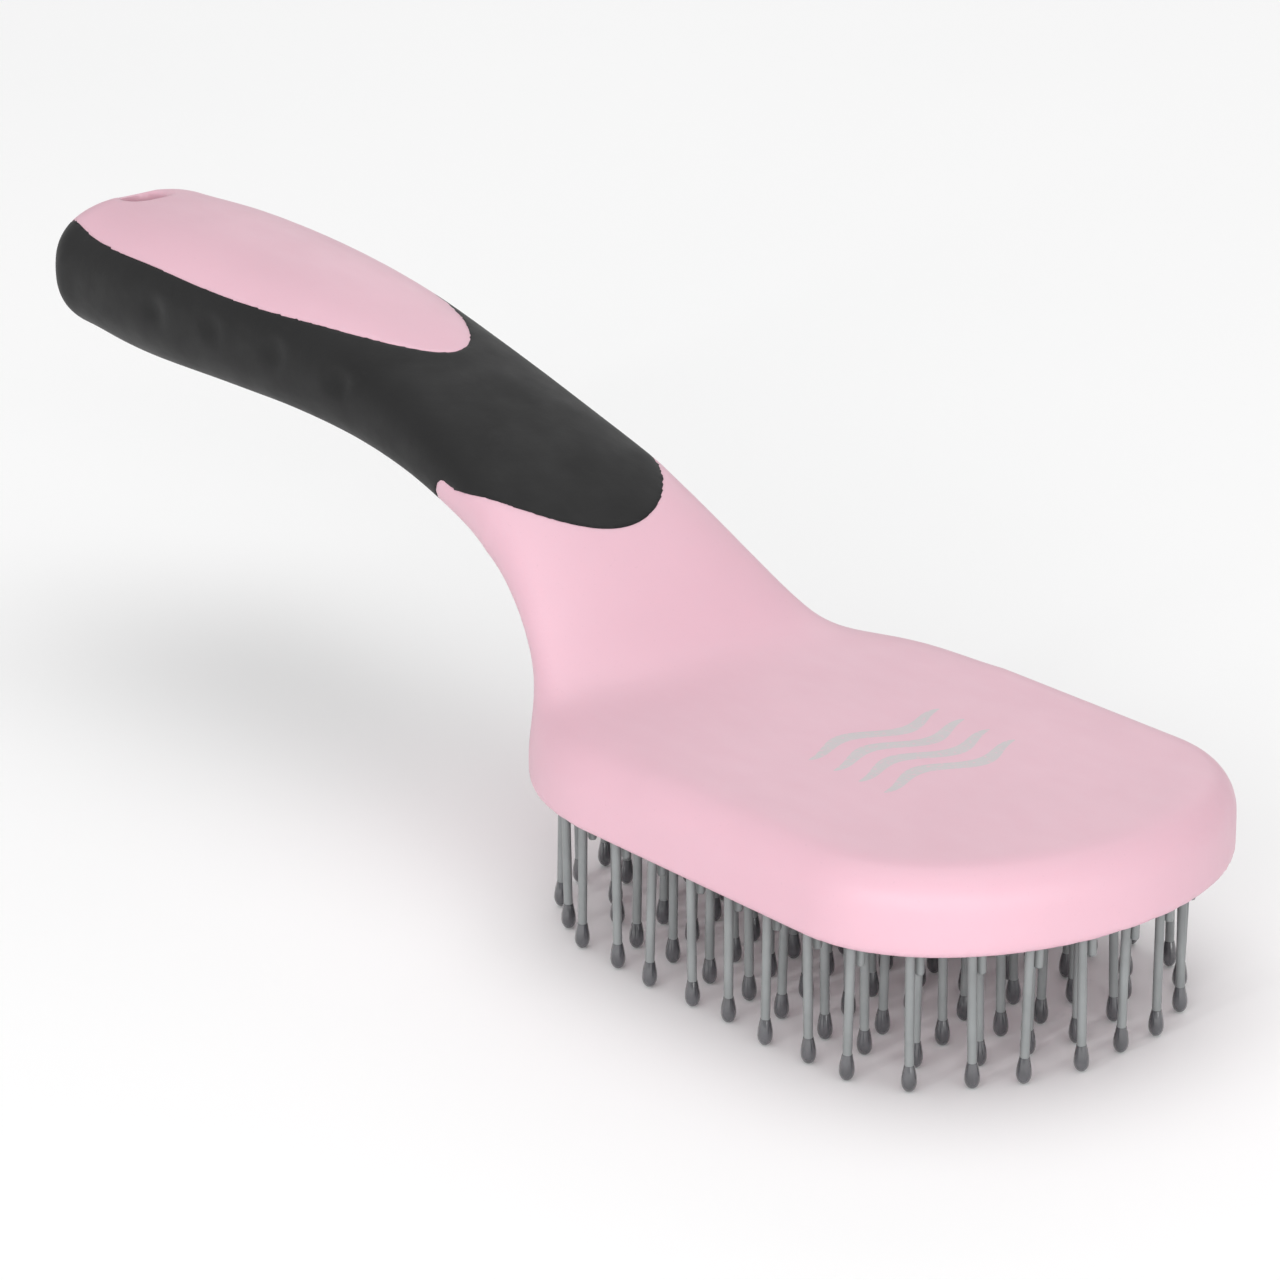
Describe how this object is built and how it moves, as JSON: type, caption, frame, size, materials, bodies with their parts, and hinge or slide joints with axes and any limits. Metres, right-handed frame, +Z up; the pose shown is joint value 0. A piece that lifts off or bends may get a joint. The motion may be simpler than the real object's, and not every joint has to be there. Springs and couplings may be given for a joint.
{
  "type": "mane and tail brush",
  "caption": "Mane and tail brush: rounded paddle head with rings of ball-tipped plastic pins, a raised curved handle, a soft overmoulded grip and a hanging hole",
  "frame": {"origin": "midway along the brush, on the plane that the ball tips touch, in its plane of symmetry", "axes": "+X towards the front of the head, +Y across the head, +Z up, away from the pins"},
  "size_m": [0.234, 0.069, 0.0712],
  "materials": {
    "body_plastic": "satin injection-moulded pink plastic",
    "grip_rubber": "soft-touch black rubber, fine matt grain",
    "pin_nylon": "satin grey drawn nylon",
    "tip_resin": "glossy dark grey dipped resin",
    "anchor_steel": "bright flat wire"
  },
  "bodies": {
    "root": {"body_moulding": "body_plastic", "soft_grip": "grip_rubber", "pin_block": "body_plastic", "ring_1_left_pins": "pin_nylon", "ring_1_left_ball_tips": "tip_resin", "ring_1_left_anchors": "anchor_steel", "ring_1_right_pins": "pin_nylon", "ring_1_right_ball_tips": "tip_resin", "ring_1_right_anchors": "anchor_steel", "ring_2_left_pins": "pin_nylon", "ring_2_left_ball_tips": "tip_resin", "ring_2_left_anchors": "anchor_steel", "ring_2_right_pins": "pin_nylon", "ring_2_right_ball_tips": "tip_resin", "ring_2_right_anchors": "anchor_steel", "ring_3_left_pins": "pin_nylon", "ring_3_left_ball_tips": "tip_resin", "ring_3_left_anchors": "anchor_steel", "ring_3_right_pins": "pin_nylon", "ring_3_right_ball_tips": "tip_resin", "ring_3_right_anchors": "anchor_steel", "ring_4_left_pins": "pin_nylon", "ring_4_left_ball_tips": "tip_resin", "ring_4_left_anchors": "anchor_steel", "ring_4_right_pins": "pin_nylon", "ring_4_right_ball_tips": "tip_resin", "ring_4_right_anchors": "anchor_steel", "ring_5_left_pins": "pin_nylon", "ring_5_left_ball_tips": "tip_resin", "ring_5_left_anchors": "anchor_steel", "ring_5_right_pins": "pin_nylon", "ring_5_right_ball_tips": "tip_resin", "ring_5_right_anchors": "anchor_steel"}
  },
  "joints": []
}
